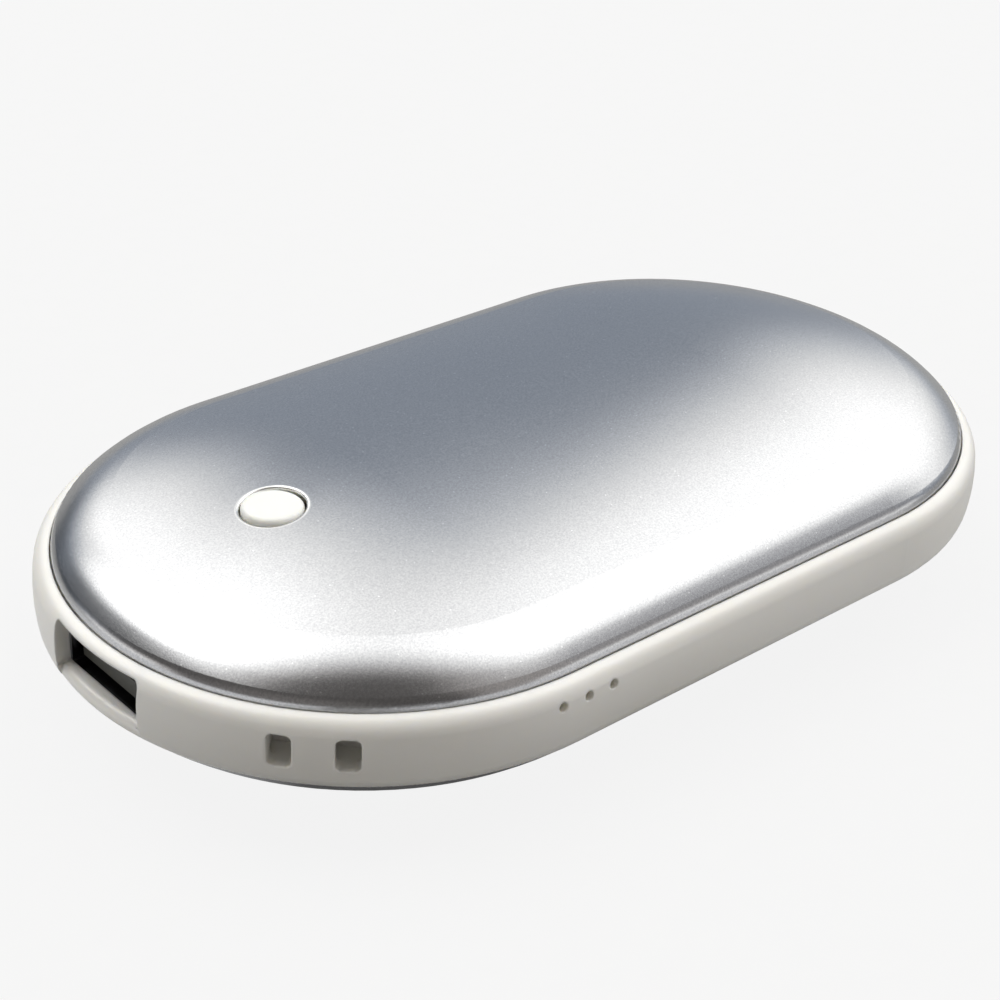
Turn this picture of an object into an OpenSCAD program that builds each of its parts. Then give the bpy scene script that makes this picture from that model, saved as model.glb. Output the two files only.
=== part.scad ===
// Rechargeable hand warmer: a white stadium-shaped frame between two domed
// metal shells, with a push button, a charging output at one end, three
// indicator holes and a lanyard post. X runs along the length with the output
// port at -X, the indicators and lanyard slots are on the -Y side, and the
// part rests on the flat land under its lower shell at Z = 0.

/* [Overall] */
// Length over the frame
body_l = 110; // [108:0.5:118]
// Width over the frame
body_w = 65; // [64:0.5:70]
// Height of the frame's side band
frame_h = 7.66; // [7.4:0.02:8.6]
// Rise of each metal shell above the frame's edge
dome_rise = 7.4; // [7.2:0.1:8]
// Depth of the flat land that the lower shell rests on
rest_cut = 0.1; // [0.05:0.05:0.3]

/* [Metal shells] */
// Sheet thickness of both shells
shell_t = 0.8; // [0.6:0.05:0.9]
// Radius of the crown
crown_r = 96; // [90:0.5:104]
// Radius of the shoulder between crown and rim
shoulder_r = 12; // [10.5:0.1:14]
// Radius of the rolled rim
rim_r = 1.8; // [1.6:0.02:2.4]
// Depth of the rim's start below the frame's top edge
rim_drop = 0.12; // [0.05:0.01:0.3]
// Depth of the skirt inside the frame
skirt_d = 1.2; // [1:0.05:1.3]
// Hairline gap between the skirt and the frame
shell_gap = 0.13; // [0.08:0.01:0.25]

/* [Frame] */
// Width of the frame's ledge outside the shells
ledge_w = 1.92; // [1.7:0.02:2.3]
// Thickness of the frame's ring, from its side to its inner wall
ring_wall = 4.1; // [3.9:0.05:4.4]
// Radius of the slightly bulged side
bulge_r = 15; // [12:0.5:15.5]
// Radius of the frame's rounded edges
edge_r = 1.9; // [1.4:0.1:2.2]
// Width of each screw tab and ear
tab_w = 6; // [5:0.5:7]
// Thickness of the frame's screw tabs
tab_t = 2; // [1.6:0.1:2.1]

/* [Output port] */
// Distance of the port's middle from the long axis, towards -Y
port_off = 1.05; // [0:0.05:2]
// Width of the port's pocket
pocket_w = 13.2; // [13:0.1:14]
// Lowest height of the pocket, from the frame's middle
pocket_low = -1.85; // [-2:0.05:-1.7]
// Height of the pocket
pocket_h = 4.95; // [4.7:0.05:5]
// Radius of the pocket's upper corner on the -Y side
pocket_r = 0.8; // [0.4:0.1:1.2]
// Radius of the pocket's other corners
pocket_low_r = 0.3; // [0.2:0.05:0.4]
// Radius of the lip under the pocket's mouth
lip_low = 0.85; // [0.6:0.05:0.95]
// Width of the roof beside the pocket
roof_side = 1; // [0.8:0.1:1.2]
// Depth of the pocket's roof below the frame's edge
roof_drop = 0.3; // [0.2:0.01:0.4]
// Depth from the end of the frame to the socket's mouth
pocket_d = 2.1; // [1.8:0.1:2.6]
// Outer width of the socket shell
socket_w = 13.14; // [13:0.02:13.3]
// Outer height of the socket shell
socket_h = 5.72; // [5.6:0.02:5.8]
// Length of the socket shell
socket_l = 14; // [13:0.1:14.4]
// Sheet thickness of the socket shell
socket_t = 0.3; // [0.25:0.01:0.35]
// Corner radius of the socket shell
socket_r = 0.6; // [0.5:0.1:0.8]
// Gap between the socket and the frame
socket_fit = 0.12; // [0.08:0.01:0.2]
// Depth of the socket's inner floor below the pocket's floor
socket_sink = 0.11; // [0.08:0.01:0.2]
// Width of the socket's tongue
tongue_w = 11.1; // [10.8:0.1:11.3]
// Thickness of the socket's tongue
tongue_t = 1.84; // [1.7:0.02:1.9]
// Gap under the tongue
tongue_gap = 0.85; // [0.7:0.05:1]
// Set-back of the tongue behind the mouth
tongue_back = 0.8; // [0.5:0.1:1.5]
// Pitch of the outer contacts from the middle
contact_outer = 3.5; // [3.3:0.1:3.7]
// Pitch of the inner contacts from the middle
contact_inner = 1; // [0.9:0.05:1.2]

/* [Charging inlet] */
// Distance of the inlet from the port end, on the +Y side
inlet_from_end = 36; // [34:0.5:36]
// Outer width of the inlet shell
inlet_w = 7.5; // [7.3:0.05:7.7]
// Outer height of the inlet shell
inlet_h = 2.45; // [2.3:0.05:2.6]
// Length of the inlet shell
inlet_l = 5.6; // [5.2:0.1:6]
// Height of the inlet's middle from the frame's middle
inlet_z = -0.4; // [-0.5:0.05:-0.3]
// Sheet thickness of the inlet shell
inlet_t = 0.25; // [0.2:0.01:0.3]
// Gap round the inlet and the board's ear in the frame
inlet_fit = 0.2; // [0.12:0.01:0.25]
// Depth of the inlet's mouth below the frame's side
inlet_d = 0.8; // [0.6:0.1:1]

/* [Lanyard post] */
// Angle of the post from the port end, towards -Y
post_angle = 44.3; // [42:0.1:46]
// Distance between the middles of the two slots
slot_pitch = 6.2; // [5.8:0.1:6.6]
// Width of each slot
slot_w = 2.3; // [2:0.1:2.6]
// Height of each slot
slot_h = 3.35; // [3:0.05:3.5]
// Height of the slots' middle from the frame's middle
slot_z = 0.42; // [0.3:0.02:0.6]
// Corner radius of each slot
slot_r = 0.6; // [0.4:0.1:0.9]
// Width of the flare round each slot
slot_flare = 0.3; // [0.2:0.05:0.4]
// Thickness of the post between the slots
post_t = 1.9; // [1.6:0.1:2]
// Depth of the cord passage behind the post
passage_d = 2.1; // [1.9:0.1:2.3]
// Wall behind the cord passage
passage_wall = 0.8; // [0.6:0.05:0.9]
// Wall beside and under the cord passage
passage_side = 0.9; // [0.7:0.1:1.1]

/* [Indicators] */
// Distance of the first indicator from the port end
lamp_from_end = 29.9; // [29:0.1:31]
// Pitch of the indicators
lamp_pitch = 3.05; // [2.9:0.05:3.2]
// Number of indicators
lamp_n = 3; // [2:1:3]
// Diameter of each indicator hole
lamp_d = 1; // [0.9:0.05:1.2]
// Height of the indicators from the frame's middle
lamp_z = 1.92; // [1.8:0.02:1.96]
// Countersink of each indicator hole
lamp_flare = 0.12; // [0.05:0.01:0.3]
// Depth of the light guide's ends below the frame's side
lamp_deep = 0.8; // [0.5:0.1:1.2]

/* [Button] */
// Distance of the button from the port end
button_from_end = 21.4; // [21:0.1:23]
// Diameter of the button cap
cap_d = 6.1; // [5.6:0.1:6.4]
// Gap between the cap and its hole, on the radius
cap_gap = 0.2; // [0.15:0.01:0.3]
// Width of the bright chamfer round the hole
hole_chamfer = 0.15; // [0.1:0.05:0.3]
// Edge radius of the cap
cap_edge = 0.4; // [0.2:0.05:0.6]
// Height of the cap's middle over the metal beside it
cap_proud = 0.12; // [0:0.02:0.4]
// Diameter of the flange that keeps the cap in
flange_d = 8.2; // [7.6:0.1:8.6]
// Thickness of the flange
flange_t = 0.6; // [0.5:0.05:0.7]
// Diameter of the stem under the cap
stem_d = 3.2; // [2.8:0.1:3.4]
// Running clearance of the stem in its guide, on the radius
guide_fit = 0.08; // [0.05:0.01:0.1]
// Travel of the button
button_travel = 0.25; // [0.2:0.01:0.3]
// Thickness of the guide under the button
guide_t = 1; // [0.8:0.1:1.2]
// Length of the bridge that carries the guide
bridge_l = 12; // [10:0.5:13]
// Width of the bridge
bridge_w = 15.8; // [15:0.1:17]
// Thickness of the bridge's two webs
bridge_web = 1.4; // [1:0.1:1.6]

/* [Circuit board] */
// Length of the board from the port end of the frame
board_reach = 39.5; // [39.5:0.1:40.5]
// Thickness of the board
board_t = 1; // [0.8:0.1:1.2]
// Height of the board's top over the frame's middle
board_top = 1; // [0.9:0.02:1.04]
// Gap between the board and the frame's inner wall
board_gap = 1.1; // [1.05:0.05:1.3]
// Side of the square switch
switch_w = 6; // [5.8:0.1:6.2]
// Height of the switch over the board, without its plunger
switch_h = 3.6; // [3.4:0.1:3.8]
// Height of the switch over the board, with its plunger
switch_top = 5; // [4.8:0.05:5.05]
// Diameter of the switch's plunger
plunger_d = 3.5; // [3.3:0.1:3.6]

// Corner radius of the switch
switch_r = 0.4; // [0.2:0.1:0.8]
// Thickness of the switch's cover plate
cover_t = 0.3; // [0.2:0.05:0.4]
// Length of the plunger inside the switch
plunger_in = 0.5; // [0.4:0.05:0.7]
// Half pitch of the switch's legs
leg_y = 2.25; // [2:0.05:2.4]
// Width, length and thickness of the switch's legs
leg_w = 0.7; // [0.5:0.05:0.8]
leg_l = 1.2; // [1:0.1:1.4]
leg_t = 0.2; // [0.15:0.01:0.25]
// Angle of the board's tabs from the port end
board_tab_a = 65; // [62:1:67]
// Distance of the board's tab screws from the frame's inner wall
board_tab_in = 3.6; // [3.4:0.1:3.8]
// Width of the board's ear beside the inlet
inlet_ear_w = 11; // [10:0.5:11]
// Reach of the board's ear into the frame's ring
inlet_ear_d = 1.4; // [1:0.1:1.6]

/* [Battery] */
// Room between the battery tray's far end and the frame's inner wall
end_room = 14.6; // [13.5:0.1:18]
// Room between the battery tray's sides and the frame's inner wall
side_room = 4.6; // [4.4:0.1:6]
// Thickness of the pouch cell
cell_t = 10.8; // [10:0.1:11]
// Radius of the cell's long edges
cell_edge = 2.2; // [1.5:0.1:3]
// Radius of the cell's corners
cell_corner = 2.6; // [2.5:0.1:3.2]
// Height of the cell's underside from the frame's middle
cell_low = -4.9; // [-5:0.05:-4.7]
// Length of the terrace that carries the protection board
terrace_l = 4; // [3.8:0.1:4.6]
// Thickness of the terrace
terrace_t = 0.3; // [0.2:0.05:0.4]
// Thickness of the protection board
guard_t = 0.8; // [0.6:0.1:1]
// Width of the protection board
guard_w = 30; // [28:1:34]
// Half distance between the cell's two tabs
tab_y = 9; // [8:0.5:10]
// Wall of the battery tray
tray_wall = 1; // [0.8:0.1:1.2]
// Gap between the cell and the tray
tray_gap = 0.3; // [0.2:0.05:0.4]
// Radius of the tray's corners, inside
tray_corner = 2.5; // [2:0.1:2.5]
// Height of the tray's rim from the frame's middle
tray_top = 1.5; // [1:0.1:2]

// Gap between the board and the tray
board_to_tray = 1.2; // [1:0.1:1.4]
// Distance of the tray's near ears from the cell's near end
ear_near = 8.6; // [7:0.1:10]
// Distance of the tray's far ears from the frame's far arc
ear_far = 0.9; // [0.5:0.1:3]
// Thickness of the tray's ears
ear_t = 1.2; // [1:0.1:1.2]
// Depth of the ears under the board's underside
ear_drop = 0.5; // [0.4:0.05:0.6]
// Distance of the tray's post screws from the board's inner edge
post_in = 2.5; // [2.4:0.1:2.8]
// Half distance between the tray's two posts
post_y = 14; // [13:0.5:15]
// Width of the ribs between the tray's floor windows
rib_w = 4; // [3:0.5:5]

/* [Heating] */
// Thickness of each heater film
film_t = 0.25; // [0.15:0.01:0.3]
// Distance of each heater film's rim from the shell's rim
film_edge = 7.6; // [7:0.1:10]
// Reach of each heater film over the circuit board
film_in = 3.5; // [3:0.5:4]
// Half distance between a film's two leads
film_lead_y = 9; // [8.5:0.1:9.5]
// Thickness of the foam pad over the cell
pad_t = 1.6; // [1.2:0.1:1.8]
// Distance of the pads' rims from the cell's edges
pad_edge = 5; // [4:0.5:6]
// Thickness of the foam pad under the tray
low_pad_t = 1.6; // [1:0.1:1.8]

/* [Snap hooks] */
// Width of each snap hook
hook_w = 4; // [3:0.25:5]
// Thickness of each snap hook
hook_t = 0.85; // [0.7:0.05:1]
// Length of each hook under the shell's seat
hook_drop = 1.9; // [1.7:0.05:2.1]
// Reach of the barb into the frame
barb = 0.6; // [0.4:0.05:0.8]
// Height of the barb
barb_h = 0.8; // [0.6:0.05:0.9]
// Gap round each hook and barb
hook_gap = 0.1; // [0.05:0.01:0.15]
// Places of the hooks along the straight sides
hooks_x = [2, 13];
// Angles of the upper and lower hooks on the far arc
hooks_far = [48, 16];
// Angles of the upper and lower hooks on the arc at the port end
hooks_near = [74, 83];

/* [Small parts] */
// Diameter of the screw shanks
screw_d = 1.6; // [1.4:0.1:1.8]
// Diameter of the screw heads
screw_head_d = 3.4; // [3:0.1:3.6]
// Height of the screw heads
screw_head_h = 1.1; // [0.9:0.1:1.3]
// Length of the screws under their heads
screw_l = 3; // [2.6:0.1:3]
// Diameter of the battery leads
lead_d = 1.3; // [1:0.1:1.5]
// Diameter of the heater leads
heat_lead_d = 1; // [0.8:0.1:1.2]

/* [Hidden] */

// small clearance of bonded faces
glue = 0.05;
// overshoot of a cutting body
over = 1;
// gap round the parts that sink into the circuit board
part_gap = 0.1;
// lap of one body's own fused shapes
lap = 0.2;
// gap between the port's roof and the skirt over it
roof_gap = 0.03;
// half angle of the arc that the port's sill is turned over
sill_a = 30;
// thickness of a flat slice that a hull joins
thin = 0.01;
// facets on large, middle and small round forms
fn_l = 360;
fn_m = 128;
fn_s = 48;

// half sizes of the stadium outline
body_r = body_w / 2;
half_run = (body_l - body_w) / 2;
end_x = -body_l / 2;
frame_z = frame_h / 2;
mid_z = frame_z + dome_rise - rest_cut;
inner_r = body_r - ring_wall;
shell_r = body_r - ledge_w;
rebate_r = shell_r + shell_gap;
film_r = shell_r - film_edge;
seat_z = frame_z - skirt_d;

// centres of the three tangent arcs of the dome, from the frame's top edge
crown_c = [0, dome_rise - crown_r];
rim_c = [shell_r - rim_r, -rim_drop];
arc_v = rim_c - crown_c;
arc_d = norm(arc_v);
arc_a = crown_r - shoulder_r;
arc_b = shoulder_r - rim_r;
arc_l = (arc_a * arc_a - arc_b * arc_b + arc_d * arc_d) / (2 * arc_d);
arc_o = sqrt(arc_a * arc_a - arc_l * arc_l);
shoulder_c = crown_c + arc_v * arc_l / arc_d + [-arc_v[1], arc_v[0]] * arc_o / arc_d;
crown_dir = (shoulder_c - crown_c) / arc_a;
shoulder_dir = (rim_c - shoulder_c) / arc_b;

// centres of the arcs of the frame's side
bulge_x = body_r - bulge_r;
edge_z = frame_z - edge_r;
edge_x = bulge_x + sqrt(pow(bulge_r - edge_r, 2) - edge_z * edge_z);

// places that follow from the sizes
mouth_x = end_x + pocket_d;
port_y = -port_off;
socket_low = pocket_low - socket_sink - socket_t;
socket_z = socket_low + socket_h / 2;
socket_end = mouth_x + socket_l;
notch_x = end_x + ring_wall + 3;
tongue_low = socket_low + socket_t + tongue_gap;
board_low = board_top - board_t;
board_r = inner_r - board_gap;
board_end = end_x + board_reach;
inlet_x = end_x + inlet_from_end;
inlet_y = body_r - inlet_d;
button_x = end_x + button_from_end;
lamp_x = end_x + lamp_from_end;
lamps_x = [for (i = [0 : lamp_n - 1]) lamp_x + i * lamp_pitch];
guide_y = inner_r - board_gap;
ear_z = board_low - ear_drop;
tray_x0 = board_end + board_to_tray;
tray_x1 = half_run + inner_r - end_room;
tray_y = inner_r - side_room;
cell_x0 = tray_x0 + tray_wall + tray_gap;
cell_x1 = tray_x1 - tray_wall - tray_gap;
cell_l = cell_x1 - cell_x0;
cell_w = 2 * (tray_y - tray_wall - tray_gap);
tray_low = cell_low - tray_wall;
window_x = (cell_l - rib_w) / 3;
window_y = (cell_w - rib_w) / 2;
ear_y = tray_y + screw_head_d / 2 + 0.1;
tray_tabs = [for (x = [cell_x0 + ear_near, half_run - ear_far], s = [-1, 1]) [x, s * ear_y]];
board_tab_r = inner_r - board_tab_in;
board_tabs = [for (s = [-1, 1])
    [-half_run - board_tab_r * cos(board_tab_a), s * board_tab_r * sin(board_tab_a)]];
tray_posts = [for (s = [-1, 1]) [board_end - post_in, s * post_y]];
hook_r = inner_r - hook_gap;
hook_low = seat_z - hook_drop;

// height of the crown over the frame's middle at a distance from the spine
function crown_z(r, o = 0) = frame_z + crown_c[1] + sqrt(pow(crown_r - o, 2) - r * r);
// where the cap's top lies
cap_r0 = max(0, -half_run - button_x);
cap_top = crown_z(cap_r0) + cap_proud;
cap_low = crown_z(cap_r0 + flange_d / 2, shell_t) - 0.3 - flange_t;
guide_top = cap_low - button_travel - 0.15;
// radius of the cap's hole, and how far the metal falls away at its rim
hole_r = cap_d / 2 + cap_gap;
hole_sag = crown_r - sqrt(pow(crown_r, 2) - pow(hole_r + hole_chamfer, 2));

// a rounded rectangle about the origin
module rounded(w, h, r) {
    square([w - 2 * r, h], center = true);
    square([w, h - 2 * r], center = true);
    for (x = [-1, 1], y = [-1, 1])
        translate([x * (w / 2 - r), y * (h / 2 - r)])
            circle(r = r, $fn = fn_s);
}

// a block given by its low and high corners
module block(a, b) {
    translate(a)
        cube(b - a);
}

// the stadium outline of a given radius
module stadium(r) {
    for (s = [-1, 1])
        translate([s * half_run, 0])
            circle(r = r, $fn = fn_m);
    square([2 * half_run, 2 * r], center = true);
}

// sweeps a profile round the stadium: X is the distance from the spine
module sweep() {
    for (s = [0, 1])
        mirror([s, 0, 0])
            translate([half_run, 0, 0])
                rotate([0, 0, -90])
                    rotate_extrude(angle = 180, $fn = fn_m)
                        children();
    for (s = [0, 1])
        mirror([0, s, 0])
            translate([-half_run, 0, 0])
                rotate([90, 0, 90])
                    linear_extrude(height = 2 * half_run)
                        children();
}

// what lies outside an arc, between two directions from its centre
module arc_cut(c, r, d1, d2, reach) {
    difference() {
        polygon([c, c + d1 * reach, c + (d1 + d2) * reach, c + d2 * reach]);
        translate(c)
            circle(r = r, $fn = fn_l);
    }
}

// half section of a dome, inset by o, down to a depth under the frame's edge
module dome_section(o, depth) {
    difference() {
        intersection() {
            translate([0, -depth])
                square([shell_r - o, depth + dome_rise]);
            translate(crown_c)
                circle(r = crown_r - o, $fn = 4 * fn_l);
        }
        arc_cut(shoulder_c, shoulder_r - o, crown_dir, [1, 0], 2 * shoulder_r);
        arc_cut(rim_c, rim_r - o, shoulder_dir, [1, 0], 4 * rim_r);
    }
}

// full section of the frame's ring, before the shells' seats are cut
module ring_section() {
    difference() {
        intersection() {
            translate([inner_r, -frame_z])
                square([ring_wall, frame_h]);
            translate([bulge_x, 0])
                circle(r = bulge_r, $fn = fn_l);
        }
        for (s = [0, 1])
            mirror([0, s])
                arc_cut([edge_x, edge_z], edge_r,
                    [edge_x - bulge_x, edge_z] / (bulge_r - edge_r), [0, 1], 3 * edge_r);
    }
}

module frame_section() {
    difference() {
        ring_section();
        for (s = [0, 1])
            mirror([0, s])
                translate([inner_r - over, seat_z])
                    square([rebate_r - inner_r + over, skirt_d + over]);
    }
}

// puts a child where the ring's arc at the port end has an angle from -X
// towards -Y: the child's X points outwards
module at_arc(a, r) {
    translate([-half_run, 0, 0])
        rotate([0, 0, 180 + a])
            translate([r, 0, 0])
                children();
}

// the pocket's opening through the end of the frame
module port_pocket() {
    translate([end_x - over, port_y, pocket_low])
        rotate([90, 0, 90])
            linear_extrude(height = pocket_d + over) {
                translate([0, pocket_h / 2])
                    rounded(pocket_w, pocket_h, pocket_r);
                translate([0, pocket_h / 4])
                    rounded(pocket_w, pocket_h / 2, pocket_low_r);
                translate([pocket_w / 4, pocket_h / 2])
                    rounded(pocket_w / 2, pocket_h, pocket_low_r);
            }
}

// the space in front of the socket, under the pocket
module sill_space() {
    block([end_x - over, port_y - pocket_w / 2, -frame_z - over],
        [mouth_x, port_y + pocket_w / 2, pocket_low]);
}

// section of the sill under the pocket's mouth, with its rounded lip
module sill_section() {
    c = [edge_x + sqrt(pow(edge_r - lip_low, 2) - pow(pocket_low - lip_low + edge_z, 2)),
        pocket_low - lip_low];
    difference() {
        frame_section();
        arc_cut(c, lip_low, [0, 1], (c - [edge_x, -edge_z]) / (edge_r - lip_low), 3 * edge_r);
    }
}

module pocket_sill() {
    intersection() {
        translate([-half_run, 0, 0])
            rotate([0, 0, 180 - sill_a])
                rotate_extrude(angle = 2 * sill_a, $fn = fn_m)
                    sill_section();
        sill_space();
    }
}

// an indicator hole along Z through the side at a distance y, with a small
// countersink
module lamp_hole(y) {
    rotate_extrude($fn = fn_s)
        polygon([[0, inner_r - over], [lamp_d / 2, inner_r - over],
            [lamp_d / 2, y - lamp_flare], [lamp_d / 2 + lamp_flare + over, y + over],
            [0, y + over]]);
}

// a lanyard slot with its flared rim, X outwards from the frame's side
module lanyard_slot() {
    lip = 0.1;
    flare = slot_flare + lip;
    rotate([90, 0, 90]) {
        translate([0, 0, -post_t - lap])
            linear_extrude(height = post_t + lap + over)
                rounded(slot_w, slot_h, slot_r);
        hull() {
            translate([0, 0, -slot_flare])
                linear_extrude(height = thin)
                    rounded(slot_w, slot_h, slot_r);
            translate([0, 0, lip])
                linear_extrude(height = thin)
                    rounded(slot_w + 2 * flare, slot_h + 2 * flare, slot_r + flare);
        }
    }
}

module mid_frame() {
    color("#f1f0ea")
        translate([0, 0, mid_z])
            difference() {
                frame_with_tabs();
                pilot_holes();
                // windows of the upper and lower snap hooks
                hook_windows(0);
                hook_windows(1);
            }
}

// the ring with its ports, slots and holes
module frame_ring() {
    difference() {
        difference() {
            union() {
                difference() {
                    sweep()
                        frame_section();
                    sill_space();
                }
                pocket_sill();
                // roof of the port's pocket, under the shell's edge
                intersection() {
                    sweep()
                        ring_section();
                    block([end_x - over, port_y - pocket_w / 2 - roof_side, 0],
                        [mouth_x, port_y + pocket_w / 2 + roof_side, frame_z - roof_drop]);
                }
                // wall behind the lanyard passage
                at_arc(post_angle, inner_r)
                    block([-(post_t + passage_d + passage_wall - ring_wall),
                        -slot_pitch / 2 - slot_w / 2 - passage_side, slot_z - slot_h / 2 - passage_side],
                        [over, slot_pitch / 2 + slot_w / 2 + passage_side, seat_z]);
            }
            port_pocket();
            // way for the socket, which slides in under the frame's ledge
            translate([mouth_x, port_y, socket_z])
                rotate([90, 0, 90])
                    linear_extrude(height = notch_x - mouth_x)
                        rounded(socket_w + 2 * socket_fit, socket_h + 2 * socket_fit, socket_r + socket_fit);
            // passage behind the lanyard post
            at_arc(post_angle, body_r - post_t - passage_d)
                block([0, -slot_pitch / 2 - slot_w / 2, slot_z - slot_h / 2],
                    [passage_d, slot_pitch / 2 + slot_w / 2, slot_z + slot_h / 2]);
        }
        // lanyard slots beside their post
        for (s = [-1, 1])
            at_arc(post_angle, body_r)
                translate([0, s * slot_pitch / 2, slot_z])
                    rotate([0, 0, s * asin(slot_pitch / 2 / body_r)])
                        lanyard_slot();
        // slot of the charging inlet, and room for the board's ear
        translate([inlet_x, inner_r - over, inlet_z])
            rotate([-90, 0, 0])
                linear_extrude(height = ring_wall + 2 * over)
                    rounded(inlet_w + 2 * inlet_fit, inlet_h + 2 * inlet_fit, 0.5);
        block([inlet_x - inlet_ear_w / 2 - inlet_fit, inner_r - over, board_low - inlet_fit],
            [inlet_x + inlet_ear_w / 2 + inlet_fit, inner_r + inlet_ear_d + inlet_fit, frame_z + over]);
    }
}

module frame_with_tabs() {
    difference() {
        frame_ring();
        // indicator holes, countersunk a little
        for (x = lamps_x)
            translate([x, 0, lamp_z])
                rotate([90, 0, 0])
                    lamp_hole(lamp_out(x) + lamp_deep);
    }
    // tabs under the circuit board
    for (s = [-1, 1])
        at_arc(s * board_tab_a, board_tab_r)
            block([-tab_w / 2, -tab_w / 2, board_low - tab_t],
                [inner_r - board_tab_r + over, tab_w / 2, board_low]);
    // tabs under the battery tray's ears
    for (p = tray_tabs)
        translate([p[0], 0, 0])
            mirror([0, p[1] < 0 ? 1 : 0, 0])
                block([-tab_w / 2, tray_y + tray_gap, ear_z - tab_t],
                    [tab_w / 2, inner_r + over, ear_z]);
}

module pilot_holes() {
    for (p = concat(tray_tabs, board_tabs))
        translate([p[0], p[1], ear_z - tab_t - over])
            cylinder(d = screw_d + 2 * glue, h = tab_t + 2 * over + ear_drop, $fn = fn_s);
}

// stands a child at each hook of the upper set (0) or lower set (1), X outwards
module each_hook(i) {
    for (x = hooks_x, s = [-1, 1])
        translate([x, 0, 0])
            rotate([0, 0, 90 * s])
                children();
    for (s = [-1, 1])
        translate([half_run, 0, 0])
            rotate([0, 0, s * hooks_far[i]])
                children();
    for (s = [-1, 1])
        translate([-half_run, 0, 0])
            rotate([0, 0, 180 + s * hooks_near[i]])
                children();
}

module hook_windows(i) {
    mirror([0, 0, i])
        each_hook(i)
            block([inner_r - over, -hook_w / 2 - 2 * hook_gap, hook_low - hook_gap],
                [inner_r + barb, hook_w / 2 + 2 * hook_gap, hook_low + barb_h + hook_gap]);
}

// a snap hook hanging from a liner, its barb outwards
module hook() {
    lead_in = 0.3;
    block([hook_r - hook_t, -hook_w / 2, hook_low],
        [hook_r, hook_w / 2, seat_z + lap]);
    rotate([90, 0, 0])
        translate([hook_r - lap, hook_low, -hook_w / 2])
            linear_extrude(height = hook_w)
                polygon([[0, 0], [lap, 0], [lap + barb - hook_gap, barb_h - lead_in],
                    [lap + barb - hook_gap, barb_h], [0, barb_h]]);
}

// notch over the socket, for what has to clear it
module socket_notch(z) {
    block([end_x, port_y - pocket_w / 2 - roof_side - hook_gap, -frame_z],
        [notch_x, port_y + pocket_w / 2 + roof_side + hook_gap, z]);
}

// a domed shell without its openings, on the frame's upper edge
module shell_blank() {
    sweep()
        difference() {
            dome_section(0, skirt_d);
            dome_section(shell_t, skirt_d + over);
        }
}

module top_shell() {
    color("#b4bac0")
        translate([0, 0, mid_z])
            difference() {
                translate([0, 0, frame_z])
                    shell_blank();
                // the button's hole and its chamfer, square to the sloping metal
                translate([button_x, 0, crown_z(cap_r0)])
                    rotate([0, -asin(cap_r0 / crown_r), 0]) {
                        translate([0, 0, -3 * shell_t])
                            cylinder(r = hole_r, h = 6 * shell_t, $fn = fn_m);
                        translate([0, 0, -hole_chamfer - hole_sag])
                            cylinder(r1 = hole_r, r2 = hole_r + hole_chamfer + over,
                                h = hole_chamfer + over, $fn = fn_m);
                    }
                socket_notch(max(frame_z - roof_drop + roof_gap, socket_low + socket_h + socket_fit));
            }
}

module bottom_shell() {
    color("#b4bac0")
        difference() {
            translate([0, 0, mid_z])
                mirror([0, 0, 1])
                    translate([0, 0, frame_z])
                        shell_blank();
            translate([0, 0, -over])
                linear_extrude(height = over)
                    square([body_l, body_w], center = true);
        }
}

// the moulded hoop bonded inside a shell's rim
module liner_hoop() {
    sweep()
        intersection() {
            dome_section(shell_t + 2 * glue, skirt_d);
            translate([hook_r - hook_t, -skirt_d])
                square([ring_wall, dome_rise]);
        }
}

module top_liner() {
    color("#e4e3dc")
        translate([0, 0, mid_z])
            difference() {
                union() {
                    translate([0, 0, frame_z])
                        liner_hoop();
                    each_hook(0)
                        hook();
                    // bridge that guides the button
                    intersection() {
                        translate([0, 0, frame_z])
                            sweep()
                                dome_section(shell_t + 2 * glue, 0);
                        union() {
                            for (s = [-1, 1])
                                translate([0, s * (bridge_w - bridge_web) / 2, 0])
                                    block([end_x, -bridge_web / 2, frame_z + 0.4],
                                        [button_x + bridge_l / 2, bridge_web / 2, guide_top]);
                            block([button_x - bridge_l / 2, -bridge_w / 2, guide_top - guide_t],
                                [button_x + bridge_l / 2, bridge_w / 2, guide_top]);
                        }
                    }
                }
                translate([button_x, 0, 0])
                    cylinder(d = stem_d + 2 * guide_fit, h = mid_z, $fn = fn_m);
                socket_notch(socket_low + socket_h + socket_fit);
            }
}

module bottom_liner() {
    color("#e4e3dc")
        translate([0, 0, mid_z])
            mirror([0, 0, 1]) {
                translate([0, 0, frame_z])
                    liner_hoop();
                each_hook(1)
                    hook();
            }
}

module button_cap() {
    color("#f6f5ef")
        translate([button_x, 0, mid_z])
            rotate_extrude($fn = fn_m) {
                // cap with a rounded edge
                difference() {
                    translate([0, cap_low])
                        square([cap_d / 2, cap_top - cap_low]);
                    arc_cut([cap_d / 2 - cap_edge, cap_top - cap_edge], cap_edge,
                        [0, 1], [1, 0], 2 * cap_edge);
                }
                translate([0, cap_low])
                    square([flange_d / 2, flange_t]);
                translate([0, board_top + switch_top + glue])
                    square([stem_d / 2, cap_low + lap - board_top - switch_top - glue]);
            }
}

module switch_plunger() {
    color("#2a2a2c")
        translate([button_x, 0, mid_z + board_top])
            rotate_extrude($fn = fn_m)
                translate([0, switch_h - plunger_in])
                    square([plunger_d / 2, switch_top - switch_h + plunger_in]);
}

module switch_base() {
    color("#26272a")
        translate([button_x, 0, mid_z + board_top])
            difference() {
                linear_extrude(height = switch_h - cover_t)
                    rounded(switch_w, switch_w, switch_r);
                translate([0, 0, switch_h - plunger_in - button_travel - lap])
                    cylinder(d = plunger_d + 3 * lap, h = switch_h, $fn = fn_s);
            }
}

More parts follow.
